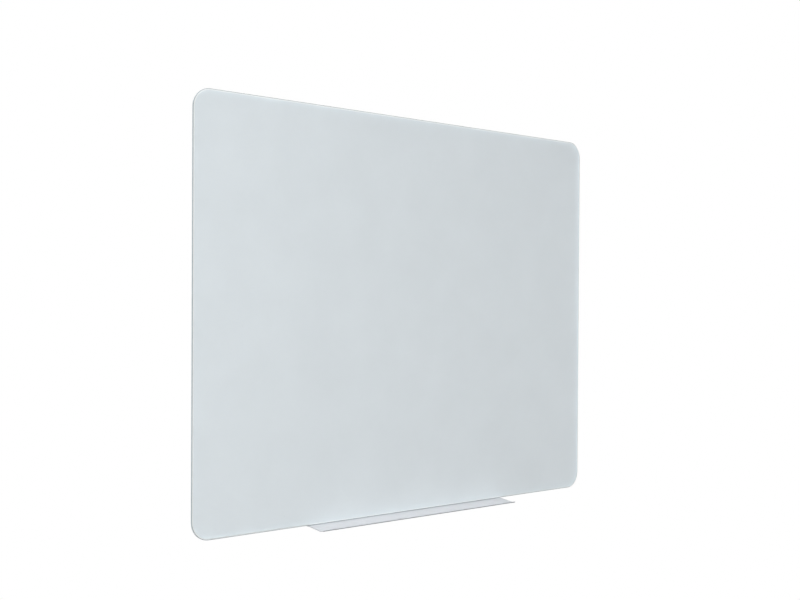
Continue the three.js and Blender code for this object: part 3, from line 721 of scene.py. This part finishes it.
def lock_nut(side):
    node = f"levelling_nut_{side}"
    centre, low, high = middle_and_box(node)
    bottom, top = low[2], high[2]
    flats = (high[1] - low[1]) / 2
    shoulder = flats * NUT_SHOULDER_SHARE
    mouth = NUT_BORE_RADIUS + NUT_BORE_CHAMFER

    def outline(z, inwards):
        """The nut's hexagon, falling away from its face towards the corners."""
        lowered = []
        for x, y, height in round_ring(centre, hexagon(flats, math.pi / 6), z):
            beyond = max(math.hypot(x - centre[0], y - centre[1]) - shoulder, 0)
            lowered.append((x, y, height + inwards * beyond * NUT_CORNER_SLOPE))
        return lowered

    rings = [
        round_ring(centre, NUT_BORE_RADIUS, bottom + NUT_BORE_CHAMFER),
        round_ring(centre, mouth, bottom),
        round_ring(centre, shoulder, bottom),
        outline(bottom, 1),
        outline(top, -1),
        round_ring(centre, shoulder, top),
        round_ring(centre, mouth, top),
        round_ring(centre, NUT_BORE_RADIUS, top - NUT_BORE_CHAMFER),
    ]
    new_piece(f"lock_nut_{side}", *loft(rings, looped=True), "screw_steel", "board", node, smooth=28)


def bumper(name):
    centre = middle_and_box(name)[0]
    rings = [round_ring(centre, r * MM, -depth * MM, axis="Y") for r, depth in BUMPER_OUTLINE]
    new_piece(f"moulded_{name}", *loft(rings), "rubber", "board", name, smooth=50)


def tray_stop_screw(side):
    """A pan head screw with a cross recess. Its head is below and its tip above."""
    node = f"tray_stop_screw_{side}"
    centre, low, high = middle_and_box(node)
    head, head_radius = low[2], (high[0] - low[0]) / 2
    recess = cross(PAN_RECESS_ARM, PAN_RECESS_HALF_WIDTH)
    recess_floor = cross(PAN_RECESS_FLOOR_ARM, PAN_RECESS_FLOOR_HALF_WIDTH)
    rings = [
        round_ring(centre, POINT_RADIUS, head + PAN_RECESS_POINT_DEPTH),
        round_ring(centre, recess_floor, head + PAN_RECESS_DEPTH),
        round_ring(centre, recess, head),
        *(round_ring(centre, head_radius * share, head + rise) for share, rise in PAN_HEAD_OUTLINE),
        *thread(
            centre, head + PAN_HEAD_HEIGHT, high[2], PAN_SCREW_RADIUS, PAN_SCREW_THREAD_DEPTH,
            PAN_SCREW_PITCH, end_radius=PAN_SCREW_TIP_RADIUS, steps=PAN_SCREW_STEPS),
    ]
    new_piece(f"pan_head_screw_{side}", *loft(rings), "screw_steel", "board", node)


def soften(name):
    """Real rounding along the sharp edges of a CAD node that is shown as it is."""
    edges = NODES[name].modifiers.new("softened_edges", "BEVEL")
    edges.width = BLOCK_EDGE_RADIUS
    edges.segments = BLOCK_EDGE_STEPS
    edges.limit_method = "ANGLE"
    edges.angle_limit = math.radians(50)


glass_pane()
enamel_coat()
pen_tray()
for side in ("left", "right"):
    levelling_screw(side)
    lock_nut(side)
    tray_stop_screw(side)
    bumper(f"bumper_upper_{side}")
    bumper(f"bumper_lower_{side}")
    for block in ("tray_slider", "tray_stop", "rail_stop"):
        soften(f"{block}_{side}")


# Floor, background, lamps and camera

def seen_directly(tree):
    """1 for rays from the camera, also when mirrored or let through, until they meet a matt surface."""
    paths = tree.nodes.new("ShaderNodeLightPath")
    total = paths.outputs["Is Camera Ray"]
    for other in ("Is Glossy Ray", "Is Transmission Ray"):
        total = combined(tree, "MAXIMUM", total, paths.outputs[other])
    return combined(tree, "GREATER_THAN", total, paths.outputs["Diffuse Depth"])


def stage_floor():
    """The floor looks white, and lights the object only as a dark grey one would."""
    material, tree, bsdf = new_material("pale_floor")
    tone = noise(tree, object_coords(tree), scale=3.0)
    tint(tree, bsdf, tone, (0.13, 0.13, 0.13), (0.15, 0.15, 0.15))
    bsdf.inputs["Roughness"].default_value = 0.8
    white = add(tree, "ShaderNodeEmission", Strength=WHITE)
    mix = tree.nodes.new("ShaderNodeMixShader")
    lit, shown_white = mix.inputs[1], mix.inputs[2]
    link(tree, seen_directly(tree), mix.inputs["Fac"])
    link(tree, bsdf.outputs["BSDF"], lit)
    link(tree, white.outputs["Emission"], shown_white)
    link(tree, mix.outputs["Shader"], tree.nodes["Material Output"].inputs["Surface"])
    bpy.ops.mesh.primitive_plane_add(size=FLOOR_SIZE, location=(0, 0, FLOOR_LEVEL))
    floor = bpy.context.active_object
    floor.name = "floor"
    floor.data.materials.append(material)


def world_light():
    world = bpy.data.worlds.new("studio")
    bpy.context.scene.world = world
    world.use_nodes = True
    tree = world.node_tree
    background = tree.nodes["Background"]
    background.inputs["Color"].default_value = (1, 1, 1, 1)
    level = add(tree, "ShaderNodeMix", A=WORLD_LEVEL, B=WHITE)
    link(tree, seen_directly(tree), level.inputs["Factor"])
    link(tree, level.outputs["Result"], background.inputs["Strength"])


def lamp(name, place, aim, size, power, mirrored=True):
    data = bpy.data.lights.new(name, "AREA")
    data.shape = "RECTANGLE"
    data.size, data.size_y = size
    data.energy = power
    light = bpy.data.objects.new(name, data)
    light.location = place
    light.rotation_euler = (Vector(aim) - Vector(place)).to_track_quat("-Z", "Y").to_euler()
    light.visible_glossy = mirrored
    light.visible_transmission = False
    bpy.context.collection.objects.link(light)


def camera():
    data = bpy.data.cameras.new("camera")
    data.sensor_width = SENSOR_WIDTH
    data.lens = SENSOR_WIDTH * FOCAL_PIXELS / IMAGE_WIDTH
    data.shift_y = SHIFT_PIXELS / IMAGE_WIDTH
    data.clip_end = 200
    view = bpy.data.objects.new("camera", data)
    turn = Matrix.Rotation(math.radians(CAMERA_TURN_DEGREES), 4, "Z")
    tilt = Matrix.Rotation(math.radians(90 - CAMERA_DIP_DEGREES), 4, "X")
    roll = Matrix.Rotation(math.radians(CAMERA_ROLL_DEGREES), 4, "Z")
    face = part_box("glass_pane")[0][1]
    place = Matrix.Translation((CAMERA_X, face - CAMERA_FROM_GLASS, CAMERA_Z))
    view.matrix_world = place @ turn @ tilt @ roll
    bpy.context.collection.objects.link(view)
    bpy.context.scene.camera = view


stage_floor()
world_light()
lamp("key", place=(-3.2, -3.0, 0.2), aim=(0, 0, -0.5), size=(2.4, 2.8), power=92)
lamp("front", place=(-0.5, -3.6, -0.3), aim=(-0.6, 0, -0.3), size=(0.9, 2.4), power=8, mirrored=False)
lamp("fill", place=(1.6, -1.9, -0.5), aim=(0.2, 0, -0.7), size=(1.2, 0.6), power=7, mirrored=False)
lamp("top", place=(0, -0.1, 3.0), aim=(0, -0.1, -0.8), size=(3.0, 0.3), power=60, mirrored=False)
lamp("back", place=(0.5, 3.5, 1.4), aim=(0, 0, -0.4), size=(3.0, 2.5), power=80, mirrored=False)
camera()

bpy.context.scene.view_settings.view_transform = "Standard"
